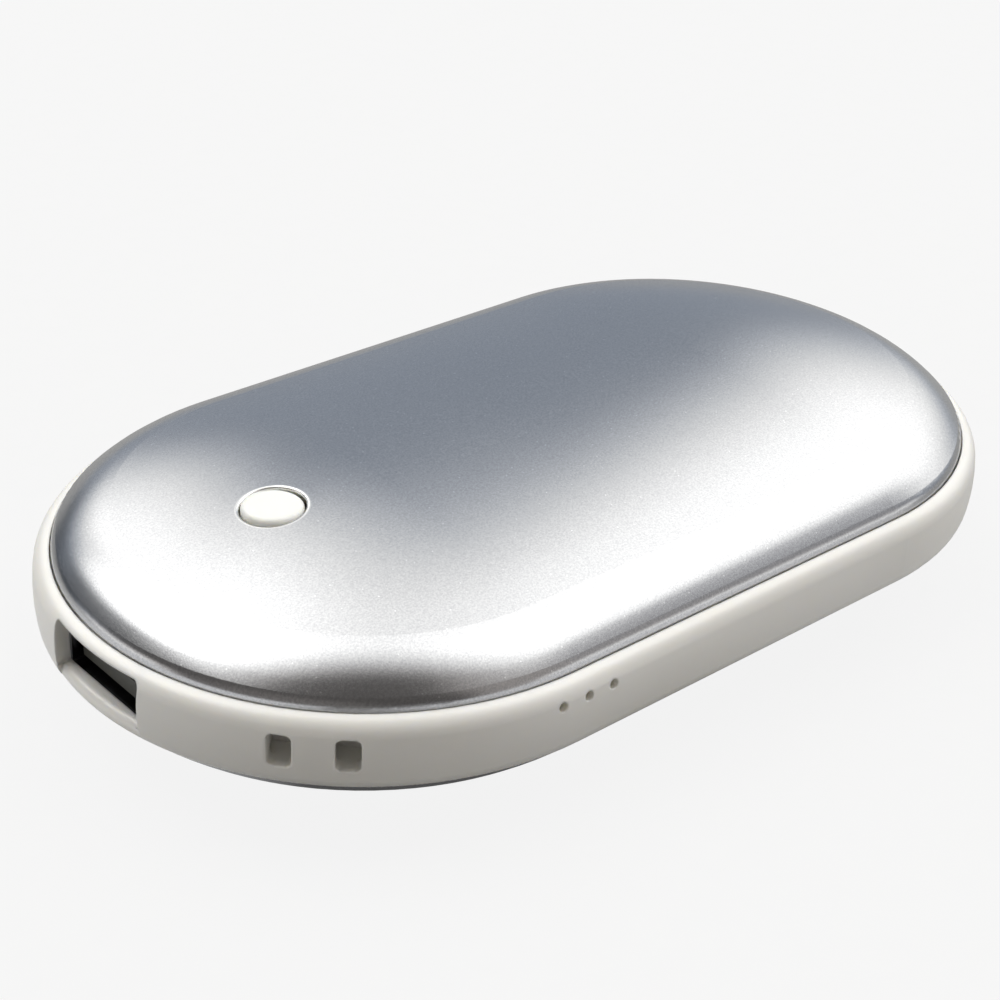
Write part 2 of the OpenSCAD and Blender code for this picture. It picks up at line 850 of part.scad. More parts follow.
module switch_cover() {
    color("#c9ccd0")
        translate([button_x, 0, mid_z + board_top + switch_h - cover_t])
            difference() {
                linear_extrude(height = cover_t)
                    rounded(switch_w, switch_w, switch_r);
                translate([0, 0, -over])
                    cylinder(d = plunger_d + 2 * guide_fit, h = 3 * over, $fn = fn_m);
            }
}

module switch_legs() {
    color("#c9ccd0")
        translate([button_x, 0, mid_z + board_top])
            for (sx = [0, 1], y = [-leg_y, leg_y])
                mirror([sx, 0, 0])
                    translate([switch_w / 2, y - leg_w / 2, 0]) {
                        cube([leg_t, leg_w, leg_l]);
                        cube([leg_l, leg_w, leg_t]);
                    }
}

module board_outline() {
    difference() {
        union() {
            intersection() {
                stadium(board_r);
                translate([end_x, -body_r])
                    square([board_reach, body_w]);
            }
            translate([inlet_x - inlet_ear_w / 2, inner_r - 4])
                square([min(inlet_ear_w, board_end - inlet_x + inlet_ear_w / 2), 4 + inlet_ear_d]);
        }
        translate([end_x, port_y - socket_w / 2 - part_gap])
            square([socket_end - end_x + part_gap, socket_w + 2 * part_gap]);
        translate([inlet_x - inlet_w / 2 - part_gap, inlet_y - inlet_l - part_gap])
            square([inlet_w + 2 * part_gap, inlet_l + over]);
        for (p = concat(board_tabs, tray_posts))
            translate(p)
                circle(d = screw_d + 2 * lap, $fn = fn_s);
    }
}

module main_board() {
    color("#1f6b45")
        translate([0, 0, mid_z + board_low])
            linear_extrude(height = board_t)
                board_outline();
}

module usb_a_shell() {
    color("#c6c8ca")
        translate([mouth_x, port_y, mid_z]) {
            translate([0, 0, socket_z])
                rotate([90, 0, 90])
                    linear_extrude(height = socket_l)
                        difference() {
                            rounded(socket_w, socket_h, socket_r);
                            rounded(socket_w - 2 * socket_t, socket_h - 2 * socket_t, socket_r - socket_t);
                        }
            // solder tabs on the board
            for (x = socket_tabs, s = [0, 1])
                mirror([0, s, 0])
                    translate([socket_l - x, socket_w / 2 - lap, board_top])
                        cube([2, 1.5 + lap, socket_t]);
        }
}

// width and thickness of the contacts, and length of their feet
contact_w = 1;
contact_t = 0.2;
foot_l = 1.2;
// where the tongue's root starts, its length, and where the contacts rise
root_l = 3.2;
root_x = socket_l - root_l - 0.4;
riser_x = socket_l - 0.4;
// distances of the solder tabs from the socket's back
socket_tabs = [3, 9];
// pitches of the four contacts
contact_y = [-contact_outer, -contact_inner, contact_inner, contact_outer];

module usb_a_tongue() {
    color("#34353a")
        translate([mouth_x, port_y, mid_z])
            difference() {
                union() {
                    block([tongue_back, -tongue_w / 2, tongue_low],
                        [root_x + lap, tongue_w / 2, tongue_low + tongue_t]);
                    // root that closes the socket's back
                    translate([root_x, 0, socket_z])
                        rotate([90, 0, 90])
                            linear_extrude(height = root_l)
                                rounded(socket_w - 2 * socket_t - 2 * glue,
                                    socket_h - 2 * socket_t - 2 * glue, socket_r - socket_t);
                }
                for (y = contact_y)
                    translate([root_x - over, y - contact_w / 2 - glue, tongue_low + tongue_t])
                        cube([root_l + 2 * over, contact_w + 2 * glue, contact_t + glue]);
            }
}

module usb_a_contacts() {
    color("#d6b25a")
        translate([mouth_x, port_y, mid_z])
            for (y = contact_y)
                translate([0, y - contact_w / 2, 0]) {
                    block([tongue_back + 0.9, 0, tongue_low + tongue_t],
                        [riser_x + contact_t, contact_w, tongue_low + tongue_t + contact_t]);
                    block([riser_x, 0, tongue_low + tongue_t],
                        [riser_x + contact_t, contact_w, board_top + contact_t]);
                    block([riser_x, 0, board_top],
                        [riser_x + foot_l, contact_w, board_top + contact_t]);
                }
}

// the inlet's D-shaped section, chamfered below
module inlet_section(w, h, c) {
    difference() {
        square([w, h], center = true);
        for (s = [-1, 1])
            polygon([[s * w / 2, -h / 2 + c], [s * (w / 2 + over), -h / 2 + c],
                [s * (w / 2 + over), -h / 2 - over], [s * (w / 2 - c), -h / 2 - over],
                [s * (w / 2 - c), -h / 2]]);
    }
}

module micro_usb_shell() {
    color("#c6c8ca")
        translate([inlet_x, inlet_y, mid_z]) {
            translate([0, 0, inlet_z])
                rotate([90, 0, 0])
                    linear_extrude(height = inlet_l)
                        difference() {
                            inlet_section(inlet_w, inlet_h, 0.8);
                            inlet_section(inlet_w - 2 * inlet_t, inlet_h - 2 * inlet_t, 0.7);
                        }
            // side walls carried up to tabs on the board
            for (s = [0, 1])
                mirror([s, 0, 0]) {
                    block([inlet_w / 2 - inlet_t, -inlet_l, inlet_z],
                        [inlet_w / 2, -inlet_l + 2, board_top + inlet_t]);
                    block([inlet_w / 2 - inlet_t, -inlet_l, board_top],
                        [inlet_w / 2 + 0.9, -inlet_l + 2, board_top + inlet_t]);
                }
        }
}

module micro_usb_tongue() {
    color("#2b2c30")
        translate([inlet_x, inlet_y, mid_z + inlet_z]) {
            // the blade, and the block behind it
            block([-1.85, -inlet_l + 0.3, 0.05], [1.85, -0.8, 0.65]);
            block([-inlet_w / 2 + inlet_t + glue, -inlet_l, -0.25],
                [inlet_w / 2 - inlet_t - glue, -inlet_l + 1.2, inlet_h / 2 - inlet_t - glue]);
        }
}

module light_guide() {
    color("#d9d4c8")
        translate([0, 0, mid_z]) {
            // bar in front of the lamps
            block([lamp_x - 1, -guide_y - 0.8, lamp_z - 0.7],
                [lamp_x + (lamp_n - 1) * lamp_pitch + 1, -guide_y + 0.9, lamp_z + 0.6]);
            // feet on the board
            for (x = [lamp_x + lamp_pitch / 2, lamp_x + (lamp_n - 1.5) * lamp_pitch])
                block([x - 0.6, -guide_y + 0.3, board_top], [x + 0.6, -guide_y + 0.9, lamp_z]);
            // fingers in the frame's holes
            for (x = lamps_x)
                translate([x, 0, lamp_z])
                    rotate([90, 0, 0])
                        translate([0, 0, guide_y])
                            cylinder(d = lamp_d - 2 * glue, h = lamp_out(x) - guide_y, $fn = fn_s);
        }
}

// distance of a light guide's end from the long axis
function lamp_out(x) = sqrt(pow(body_r, 2) - pow(max(0, -half_run - x), 2)) - lamp_deep;

module indicator_leds() {
    color("#e8c98a")
        translate([0, 0, mid_z + board_top])
            for (x = lamps_x)
                translate([x - 0.8, -guide_y + 1.1, 0])
                    cube([1.6, 1, 1.7]);
}

// where the larger parts stand on the board
chip_in = 6.5;
coil_in = 9;
chip_at = [board_end - chip_in, 0];
coil_at = [board_end - coil_in, 16];
// body of the controller, and its pins' pitch, width, thickness and reach
chip_w = 3.9;
chip_l = 9.9;
chip_h = 1.5;
pin_pitch = 1.27;
pin_w = 0.4;
pin_t = 0.2;
pin_out = 0.3;
pin_foot = 0.75;
// side, height and winding of the inductor
coil_w = 6.6;
coil_h = 3;
coil_d = 4.4;
// a capacitor's size, and the capacitors' places from the board's inner edge
cap_size = [3.2, 1.6, 1.4];
cap_places = [[-4, 6.5], [-14, 10], [-14, 13.5], [-4, -7], [-14, -10]];

module controller_chip() {
    color("#1c1d20")
        translate([chip_at[0], chip_at[1], mid_z + board_top + part_gap])
            difference() {
                linear_extrude(height = chip_h)
                    rounded(chip_w, chip_l, 0.2);
                // dimple at the first pin
                translate([-chip_w / 2 + 0.8, chip_l / 2 - 0.8, chip_h - 0.1])
                    cylinder(d = 0.8, h = over, $fn = fn_s);
            }
}

module controller_pins() {
    color("#c9ccd0")
        translate([chip_at[0], chip_at[1], mid_z + board_top])
            for (s = [0, 1], i = [-3.5 : 1 : 3.5])
                mirror([s, 0, 0])
                    translate([chip_w / 2, i * pin_pitch - pin_w / 2, 0]) {
                        translate([0, 0, chip_h / 2])
                            cube([pin_out + pin_t, pin_w, pin_t]);
                        translate([pin_out, 0, 0])
                            cube([pin_t, pin_w, chip_h / 2 + pin_t]);
                        translate([pin_out, 0, 0])
                            cube([pin_foot, pin_w, pin_t]);
                    }
}

module power_inductor() {
    color("#3a3a3d")
        translate([coil_at[0], coil_at[1], mid_z + board_top])
            difference() {
                linear_extrude(height = coil_h)
                    rounded(coil_w, coil_w, 1);
                translate([0, 0, coil_h - 0.3])
                    cylinder(d = coil_d, h = over, $fn = fn_s);
            }
}

module capacitors() {
    color("#b08a5e")
        translate([0, 0, mid_z + board_top])
            for (p = cap_places)
                translate([board_end + p[0] - cap_size[0] / 2, p[1] - cap_size[1] / 2, 0])
                    cube(cap_size);
}

module battery_cell() {
    color("#9aa0a8")
        translate([0, 0, mid_z + cell_low]) {
            intersection() {
                translate([cell_x0 + terrace_l, 0, cell_t / 2])
                    rotate([90, 0, 90])
                        linear_extrude(height = cell_l - terrace_l)
                            rounded(cell_w, cell_t, cell_edge);
                translate([(cell_x0 + terrace_l + cell_x1) / 2, 0, 0])
                    linear_extrude(height = cell_t)
                        rounded(cell_l - terrace_l, cell_w, cell_corner);
            }
            // sealed terrace at the terminal end
            block([cell_x0, -cell_w / 2 + 3, cell_t / 2 - terrace_t],
                [cell_x0 + terrace_l + lap, cell_w / 2 - 3, cell_t / 2]);
        }
}

module protection_board() {
    color("#2f7d4f")
        translate([cell_x0 + lap, 0, mid_z + cell_low + cell_t / 2])
            block([0, -guard_w / 2, 0], [terrace_l - 3 * lap, guard_w / 2, guard_t]);
}

module cell_tabs() {
    color("#cfd0cc")
        translate([cell_x0, 0, mid_z + cell_low + cell_t / 2 + guard_t])
            for (y = [-tab_y, tab_y])
                block([0.8, y - 2, 0], [terrace_l, y + 2, 0.15]);
}

// a lead that leaves one face, bends over, runs level and bends down or up:
// it starts at z0, runs level at z1 along -X and ends at z2
module lead(x0, x1, y, z0, z1, z2, d) {
    bend = 1.6;
    up = z1 > z0 ? 1 : -1;
    translate([x0, y, min(z0, z1 - up * bend)])
        cylinder(d = d, h = abs(z1 - up * bend - z0), $fn = fn_s);
    translate([x0 - bend, y, z1 - up * bend])
        mirror([0, 0, up > 0 ? 0 : 1])
            rotate([90, 0, 0])
                rotate_extrude(angle = 90, $fn = fn_s)
                    translate([bend, 0])
                        circle(d = d, $fn = fn_s);
    translate([x1 + bend, y, z1])
        rotate([0, 90, 0])
            cylinder(d = d, h = x0 - x1 - 2 * bend, $fn = fn_s);
    down = z2 > z1 ? 1 : -1;
    translate([x1 + bend, y, z1 + down * bend])
        mirror([0, 0, down > 0 ? 1 : 0])
            rotate([90, 0, 0])
                rotate([0, 0, 90])
                    rotate_extrude(angle = 90, $fn = fn_s)
                        translate([bend, 0])
                            circle(d = d, $fn = fn_s);
    translate([x1, y, min(z2, z1 + down * bend)])
        cylinder(d = d, h = abs(z1 + down * bend - z2), $fn = fn_s);
}

// top of the protection board, level of the battery leads and their half pitch
guard_z = cell_low + cell_t / 2 + guard_t;
lead_z = board_top + 3;
lead_y = 4;

module battery_lead_red() {
    color("#c23028")
        translate([0, 0, mid_z])
            lead(cell_x0 + terrace_l / 2, board_end - 2.2, lead_y, guard_z, lead_z, board_top, lead_d);
}

module battery_lead_black() {
    color("#232323")
        translate([0, 0, mid_z])
            lead(cell_x0 + terrace_l / 2, board_end - 2.2, -lead_y, guard_z, lead_z, board_top, lead_d);
}

module battery_tray() {
    color("#dcdcd6")
        translate([0, 0, mid_z])
            difference() {
                union() {
                    translate([(tray_x0 + tray_x1) / 2, 0, tray_low])
                        linear_extrude(height = tray_top - tray_low)
                            rounded(tray_x1 - tray_x0, 2 * tray_y, tray_corner + tray_wall);
                    // ears over the frame's tabs
                    for (p = tray_tabs)
                        translate([p[0], 0, 0])
                            mirror([0, p[1] < 0 ? 1 : 0, 0])
                                block([-tab_w / 2, tray_y - tray_wall / 2, ear_z],
                                    [tab_w / 2, ear_y + 1.6, ear_z + ear_t]);
                    // posts under the board's inner edge
                    for (p = tray_posts)
                        block([p[0] - 2.6, p[1] - tab_w / 2, board_low - 2.4],
                            [tray_x0 + tray_wall / 2, p[1] + tab_w / 2, board_low]);
                }
                // room for the cell
                translate([(tray_x0 + tray_x1) / 2, 0, cell_low])
                    linear_extrude(height = cell_t + over)
                        rounded(tray_x1 - tray_x0 - 2 * tray_wall, 2 * tray_y - 2 * tray_wall, tray_corner);
                // windows in the floor, between its ribs
                for (i = [-1, 0, 1], s = [-1, 1])
                    translate([(cell_x0 + cell_x1) / 2 + i * window_x, s * window_y / 2, tray_low - over])
                        linear_extrude(height = 3 * over)
                            rounded(window_x - rib_w, window_y - rib_w, 2);
                for (p = concat(tray_tabs, tray_posts))
                    translate([p[0], p[1], board_low - screw_l])
                        cylinder(d = screw_d + 2 * glue, h = 2 * screw_l, $fn = fn_s);
            }
}

module cell_pad() {
    color("#3f4144")
        translate([(cell_x0 + terrace_l + cell_x1) / 2, 0, mid_z + cell_low + cell_t])
            linear_extrude(height = pad_t)
                rounded(cell_l - terrace_l - 2 * pad_edge, cell_w - 2 * pad_edge, 3);
}

module tray_pad() {
    color("#3f4144")
        translate([(cell_x0 + cell_x1) / 2, 0, mid_z + tray_low - low_pad_t])
            linear_extrude(height = low_pad_t)
                difference() {
                    rounded(cell_l - 2 * pad_edge, cell_w - 2 * pad_edge, 3);
                    rounded(cell_l - 4 * pad_edge, cell_w - 4 * pad_edge, 3);
                }
}

// a heater film bonded under a crown: flat end at the board, round far end
module heater_film() {
    intersection() {
        translate([0, 0, frame_z])
            sweep()
                difference() {
                    dome_section(shell_t + glue, 0);
                    dome_section(shell_t + glue + film_t, over);
                }
        linear_extrude(height = mid_z)
            difference() {
                stadium(film_r);
                translate([end_x, -body_r])
                    square([board_reach - film_in, body_w]);
            }
    }
}

module top_heater() {
    color("#c98a3c")
        translate([0, 0, mid_z])
            heater_film();
}

module bottom_heater() {
    color("#c98a3c")
        translate([0, 0, mid_z])
            mirror([0, 0, 1])
                heater_film();
}

// level of a heater film's face over its lead's foot
film_face = crown_z(film_lead_y, shell_t + glue + film_t) - 0.1;
// how far the leads run back over the board, and their level from the face
film_lead_run = 5.5;
film_lead_z = film_face - 4.6;

module top_heater_leads() {
    color("#e9e7e0")
        translate([0, 0, mid_z])
            for (y = [-film_lead_y, film_lead_y])
                lead(board_end - 1, board_end - 1 - film_lead_run, y, film_face, film_lead_z, board_top, heat_lead_d);
}

module bottom_heater_leads() {
    color("#e9e7e0")
        translate([0, 0, mid_z])
            for (y = [-film_lead_y, film_lead_y])
                lead(board_end - 1, board_end - 1 - film_lead_run, y, -film_face, -film_lead_z, board_low, heat_lead_d);
}

// the thermistor's bead and how far it lies from the film
bead_r = 1;
bead_z = crown_z(0, shell_t + glue + film_t) - glue - bead_r;

module thermistor() {
    color("#1d1d1f")
        translate([board_end - 2, 0, mid_z]) {
            translate([0, 0, bead_z])
                sphere(r = bead_r, $fn = fn_s);
            translate([0, 0, board_top])
                cylinder(d = 0.9, h = bead_z - board_top, $fn = fn_s);
        }
}

// width and length of a screw's cross recess
cross_w = 0.5;
cross_l = 1.8;

// a pan head screw, its head's underside at Z = 0
module screw() {
    translate([0, 0, -screw_l])
        cylinder(d = screw_d, h = screw_l + lap, $fn = fn_s);
    difference() {
        cylinder(d = screw_head_d, h = screw_head_h, $fn = fn_s);
        for (a = [0, 90])
            rotate([0, 0, a])
                block([-cross_w / 2, -cross_l / 2, screw_head_h / 2], [cross_w / 2, cross_l / 2, screw_head_h + over]);
    }
}

module fixing_screws() {
    color("#8d9094")
        translate([0, 0, mid_z]) {
            for (p = tray_tabs)
                translate([p[0], p[1], ear_z + ear_t])
                    screw();
            for (p = concat(board_tabs, tray_posts))
                translate([p[0], p[1], board_top])
                    screw();
        }
}

mid_frame();
top_shell();
bottom_shell();
top_liner();
bottom_liner();
button_cap();
switch_plunger();
switch_base();
switch_cover();
switch_legs();
main_board();
usb_a_shell();
usb_a_tongue();
usb_a_contacts();
micro_usb_shell();
micro_usb_tongue();
light_guide();
indicator_leds();
controller_chip();
controller_pins();
power_inductor();
capacitors();
battery_cell();
protection_board();
cell_tabs();
battery_lead_red();
battery_lead_black();
battery_tray();
tray_pad();
cell_pad();
top_heater();
bottom_heater();
top_heater_leads();
bottom_heater_leads();
thermistor();
fixing_screws();
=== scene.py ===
import math

import bmesh
import bpy
from mathutils import Matrix, Vector


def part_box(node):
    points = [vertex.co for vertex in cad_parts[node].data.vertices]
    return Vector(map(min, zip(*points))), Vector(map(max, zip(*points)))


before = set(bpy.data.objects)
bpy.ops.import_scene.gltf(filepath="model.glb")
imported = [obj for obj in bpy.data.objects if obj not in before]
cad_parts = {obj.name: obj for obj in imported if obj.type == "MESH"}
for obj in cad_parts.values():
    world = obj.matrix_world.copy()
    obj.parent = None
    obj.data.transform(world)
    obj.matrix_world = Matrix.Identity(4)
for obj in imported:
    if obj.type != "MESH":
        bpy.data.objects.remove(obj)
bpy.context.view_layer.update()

MM = 0.001


# Colours and nodes


def colour(code):
    """The linear colour of an sRGB hex code, with an alpha of 1."""
    parts = [int(code[i:i + 2], 16) / 255 for i in (1, 3, 5)]
    return [c / 12.92 if c <= 0.04045 else ((c + 0.055) / 1.055) ** 2.4 for c in parts] + [1.0]


def add(tree, kind, inputs=None, stops=(), **settings):
    """Adds a node with its settings. Each input takes a value, an output of another node, or a whole
    node, which stands for its first output in use. Stops are places and sRGB hex codes on a ramp."""
    node = tree.nodes.new(kind)
    for name, value in settings.items():
        setattr(node, name, value)
    for i, (place, code) in enumerate(stops):
        node.color_ramp.elements[i].position = place
        node.color_ramp.elements[i].color = colour(code)
    for name, value in (inputs or {}).items():
        if isinstance(value, bpy.types.Node):
            value = next(output for output in value.outputs if output.enabled)
        if isinstance(value, bpy.types.NodeSocket):
            tree.links.new(value, node.inputs[name])
        else:
            node.inputs[name].default_value = value
    return node


def per_mm(size):
    """The scale of a pattern whose features are this many millimetres wide."""
    return 1 / (size * MM)


def new_material(name):
    """A material, its empty tree and the object coordinates that its patterns read."""
    material = bpy.data.materials.new(name)
    material.use_nodes = True
    tree = material.node_tree
    tree.nodes.clear()
    return material, tree, add(tree, "ShaderNodeTexCoord").outputs["Object"]


# Materials


# the blasted metal, in mm: real pits are near 0.1 across, and are drawn coarser so that they show
METAL_GRAIN, METAL_PITS, METAL_RELIEF = 0.2, 0.16, 0.012
METAL_DARK, METAL_LIGHT = "#aeafb2", "#c0c1c3"
# painted glints, paler dots in the metal's colour standing in for facets that catch the light: how far
# apart they lie, in mm, and where one ends and is full, in shares of that
GLINT_SPACING, GLINT_EDGE, GLINT_FULL = 1.1, 0.09, 0.04
# the colour painted into the metal at each glint
PAINTED_GLINT_COLOUR = "#dadbdd"
# how wide the slow changes in a surface's gloss or colour are, in mm
METAL_CLOUD, WHITE_FLOW = 14, 18
# the roughness of the metal where it is glossiest and where it is dullest
METAL_ROUGHNESS = 0.20, 0.24

# the ring of metal round the button's hole, whose cut edge is broken and painted paler as a
# painted highlight of its chamfer: how far out it is full and gone, and how round the metal's edges
# are elsewhere and in it
cap_low, cap_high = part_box("button_cap")
HOLE_CENTRE = Vector(((cap_low.x + cap_high.x) / 2, (cap_low.y + cap_high.y) / 2, cap_high.z))
RING_INNER, RING_OUTER = 3.5 * MM, 3.7 * MM
EDGE_ROUNDING, RING_ROUNDING = 0.05 * MM, 0.35 * MM
# the colour of the ring's painted highlight
PAINTED_RING_HIGHLIGHT = "#e4e4e3"

# how far a finish's roughness strays from its middle, and how high its grain is, in mm
WHITE_SPREAD, WHITE_RELIEF = 0.04, 0.01
PLAIN_SPREAD, PLAIN_RELIEF = 0.06, 0.01


def bead_blasted_aluminium():
    """Aluminium sheet, deep drawn, bead-blasted and clear anodised: a soft gloss with a fine, dry
    grain, painted glints as single paler dots, and a rounder edge round the button's hole, painted
    paler as a painted highlight."""
    material, tree, place = new_material("bead_blasted_aluminium")
    grain = add(tree, "ShaderNodeTexNoise",
                {"Vector": place, "Scale": per_mm(METAL_GRAIN), "Detail": 2.0, "Roughness": 0.7})
    pits = add(tree, "ShaderNodeTexNoise", {"Vector": place, "Scale": per_mm(METAL_PITS), "Detail": 1.0})
    cloud = add(tree, "ShaderNodeTexNoise", {"Vector": place, "Scale": per_mm(METAL_CLOUD), "Detail": 2.0})
    cells = add(tree, "ShaderNodeTexVoronoi", {"Vector": place, "Scale": per_mm(GLINT_SPACING)})
    tint = add(tree, "ShaderNodeValToRGB", {"Fac": grain}, stops=[(0.35, METAL_DARK), (0.65, METAL_LIGHT)])
    painted_glints = add(tree, "ShaderNodeMapRange", {"Value": cells, "From Min": GLINT_EDGE, "From Max": GLINT_FULL})
    # painted glints: tiny paler dots mixed into the metal's colour
    skin = add(tree, "ShaderNodeMixRGB", {"Fac": painted_glints, "Color1": tint, "Color2": colour(PAINTED_GLINT_COLOUR)})
    reach = add(tree, "ShaderNodeVectorMath", {0: place, 1: HOLE_CENTRE}, operation="DISTANCE")
    ring = add(tree, "ShaderNodeMapRange", {"Value": reach, "From Min": RING_OUTER, "From Max": RING_INNER})
    # painted highlight: the metal round the button's hole is painted paler
    ring_highlighted = add(tree, "ShaderNodeMixRGB", {"Fac": ring, "Color1": skin, "Color2": colour(PAINTED_RING_HIGHLIGHT)})
    glossiest, dullest = METAL_ROUGHNESS
    gloss = add(tree, "ShaderNodeMapRange", {"Value": cloud, "To Min": glossiest, "To Max": dullest})
    rounding = add(tree, "ShaderNodeMapRange",
                   {"Value": ring, "To Min": EDGE_ROUNDING, "To Max": RING_ROUNDING})
    edges = add(tree, "ShaderNodeBevel", {"Radius": rounding}, samples=8)
    bump = add(tree, "ShaderNodeBump",
               {"Strength": 0.16, "Distance": METAL_RELIEF * MM, "Height": pits, "Normal": edges})
    shader = add(tree, "ShaderNodeBsdfPrincipled",
                 {"Base Color": ring_highlighted, "Metallic": 1.0, "Roughness": gloss, "Normal": bump})
    add(tree, "ShaderNodeOutputMaterial", {"Surface": shader})
    return material


def moulded_white(name, light, dark, roughness, grain_mm, edge_mm=0.1):
    """ABS, injection moulded: a warm, slightly translucent white with an even satin skin, and edges
    that the mould leaves softly rounded."""
    material, tree, place = new_material(name)
    skin = add(tree, "ShaderNodeTexNoise", {"Vector": place, "Scale": per_mm(grain_mm), "Detail": 2.0})
    flow = add(tree, "ShaderNodeTexNoise", {"Vector": place, "Scale": per_mm(WHITE_FLOW), "Detail": 1.0})
    tint = add(tree, "ShaderNodeValToRGB", {"Fac": flow}, stops=[(0.3, dark), (0.7, light)])
    gloss = add(tree, "ShaderNodeMapRange",
                {"Value": skin, "To Min": roughness - WHITE_SPREAD, "To Max": roughness + WHITE_SPREAD})
    edges = add(tree, "ShaderNodeBevel", {"Radius": edge_mm * MM}, samples=6)
    bump = add(tree, "ShaderNodeBump",
               {"Strength": 0.15, "Distance": WHITE_RELIEF * MM, "Height": skin, "Normal": edges})
    shader = add(tree, "ShaderNodeBsdfPrincipled", {
        "Base Color": tint, "Roughness": gloss, "Normal": bump, "IOR": 1.54, "Specular IOR Level": 0.85,
        "Subsurface Weight": 0.35, "Subsurface Radius": (1.0, 0.9, 0.7), "Subsurface Scale": 0.8 * MM})
    add(tree, "ShaderNodeOutputMaterial", {"Surface": shader})
    return material


def plain_finish(name, light, dark, grain_mm, roughness, metallic=0.0, ior=1.5, relief_mm=PLAIN_RELIEF):
    """A finish whose colour, gloss and height are slightly uneven, all at one grain."""
    material, tree, place = new_material(name)
    grain = add(tree, "ShaderNodeTexNoise", {"Vector": place, "Scale": per_mm(grain_mm), "Detail": 3.0})
    tint = add(tree, "ShaderNodeValToRGB", {"Fac": grain}, stops=[(0.3, dark), (0.7, light)])
    gloss = add(tree, "ShaderNodeMapRange",
                {"Value": grain, "To Min": roughness - PLAIN_SPREAD, "To Max": roughness + PLAIN_SPREAD})
    bump = add(tree, "ShaderNodeBump", {"Strength": 0.2, "Distance": relief_mm * MM, "Height": grain})
    shader = add(tree, "ShaderNodeBsdfPrincipled",
                 {"Base Color": tint, "Metallic": metallic, "Roughness": gloss, "Normal": bump})
    if metallic < 1:
        shader.inputs["IOR"].default_value = ior
    add(tree, "ShaderNodeOutputMaterial", {"Surface": shader})
    return material


def dress(material, *names):
    """Gives CAD nodes a material in place of their own."""
    for name in names:
        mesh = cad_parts[name].data
        mesh.materials.clear()
        mesh.materials.append(material)


# Finishes: each with its lighter and its darker colour, its grain in mm and its roughness

dress(bead_blasted_aluminium(), "top_shell", "bottom_shell")
# ABS from a finely eroded mould: a bright, warm satin white, with a grain drawn coarse enough to show
dress(moulded_white("white_moulded_abs", "#f5f4f0", "#f1f0eb", roughness=0.34, grain_mm=0.12, edge_mm=0.25),
      "mid_frame")
# the same ABS on the button's cap, whose rim is far rounder: smooth as a pebble
dress(moulded_white("white_button_abs", "#f5f6f1", "#f2f3ee", roughness=0.34, grain_mm=0.12, edge_mm=1.1),
      "button_cap")
# ABS as it leaves a plain mould, where nobody looks: greyer and duller
dress(moulded_white("liner_moulded_abs", "#e6e4de", "#dfddd6", roughness=0.5, grain_mm=0.2),
      "top_liner", "bottom_liner", "battery_tray")
# moulded nylon: black, with a low sheen
dress(plain_finish("black_moulded_nylon", "#2b2c2f", "#1f2023", grain_mm=0.15, roughness=0.45),
      "switch_plunger", "switch_base", "micro_usb_tongue", "controller_chip")
# steel, stamped and nickel-plated: bright, a little yellow, softly mirroring
dress(plain_finish("nickel_plated_steel", "#d9d8d6", "#cccbc9", grain_mm=0.4, roughness=0.28, metallic=1.0),
      "switch_cover", "switch_legs", "micro_usb_shell", "controller_pins")
# thin steel, folded and nickel-plated: smooth, and painted darker as painted shade in the port's recess, so
# the port's opening stands out
dress(plain_finish("nickel_plated_steel_painted_shade", "#8f8f96", "#85858c", grain_mm=1.5, roughness=0.22,
                   metallic=1.0, relief_mm=0.002),
      "usb_a_shell")
# solder mask, printed and cured: a glossy dark green
dress(plain_finish("green_solder_mask", "#1f7350", "#1a6546", grain_mm=0.6, roughness=0.35),
      "main_board", "protection_board")
# moulded glass-filled polymer: a matt, warm dark grey
dress(plain_finish("grey_moulded_polymer", "#46463e", "#3c3c36", grain_mm=0.15, roughness=0.5),
      "usb_a_tongue")
# contacts, stamped and gold-plated: a smooth, warm yellow
dress(plain_finish("gold_plated_contact", "#e6c36a", "#dbb659", grain_mm=0.3, roughness=0.25, metallic=1.0),
      "usb_a_contacts")
# polycarbonate, moulded and frosted: a dull straw colour while no lamp is lit
dress(plain_finish("frosted_polycarbonate", "#c2bda4", "#b0ab94", grain_mm=0.2, roughness=0.3, ior=1.585),
      "light_guide")
# epoxy, cast over the lamps: glossy amber
dress(plain_finish("amber_lamp_resin", "#e6c07c", "#d9b06a", grain_mm=0.3, roughness=0.3),
      "indicator_leds")
# ferrite, pressed and sintered: a dry dark grey
dress(plain_finish("coil_ferrite", "#3f3f42", "#343437", grain_mm=0.2, roughness=0.6),
      "power_inductor")
# ceramic, sintered: a light tan with a slight sheen
dress(plain_finish("capacitor_ceramic", "#b8946a", "#a8845c", grain_mm=0.2, roughness=0.45),
      "capacitors")
# aluminium laminate, pressed and sealed round the cell: silvery, with faint soft dents
dress(plain_finish("laminate_pouch_foil", "#b9bdc2", "#a9adb3", grain_mm=1.5, roughness=0.38, metallic=1.0),
      "battery_cell")
# nickel strip, rolled: grey and satin
dress(plain_finish("bare_nickel_strip", "#d2d1cd", "#c6c5c0", grain_mm=0.4, roughness=0.35, metallic=1.0),
      "cell_tabs")
# silicone, extruded round the leads' wires: an even, waxy red, black or white
dress(plain_finish("red_silicone_jacket", "#c4302a", "#b52a25", grain_mm=0.3, roughness=0.5),
      "battery_lead_red")
dress(plain_finish("black_silicone_jacket", "#2a2a2a", "#202020", grain_mm=0.3, roughness=0.5),
      "battery_lead_black")
dress(plain_finish("white_silicone_jacket", "#e9e7e1", "#e0ded7", grain_mm=0.3, roughness=0.5),
      "top_heater_leads", "bottom_heater_leads")
# foam, cut from closed-cell sheet: dark grey, matt and pitted
dress(plain_finish("closed_cell_foam", "#47494d", "#36383b", grain_mm=0.5, roughness=0.85, relief_mm=0.1),
      "tray_pad", "cell_pad")
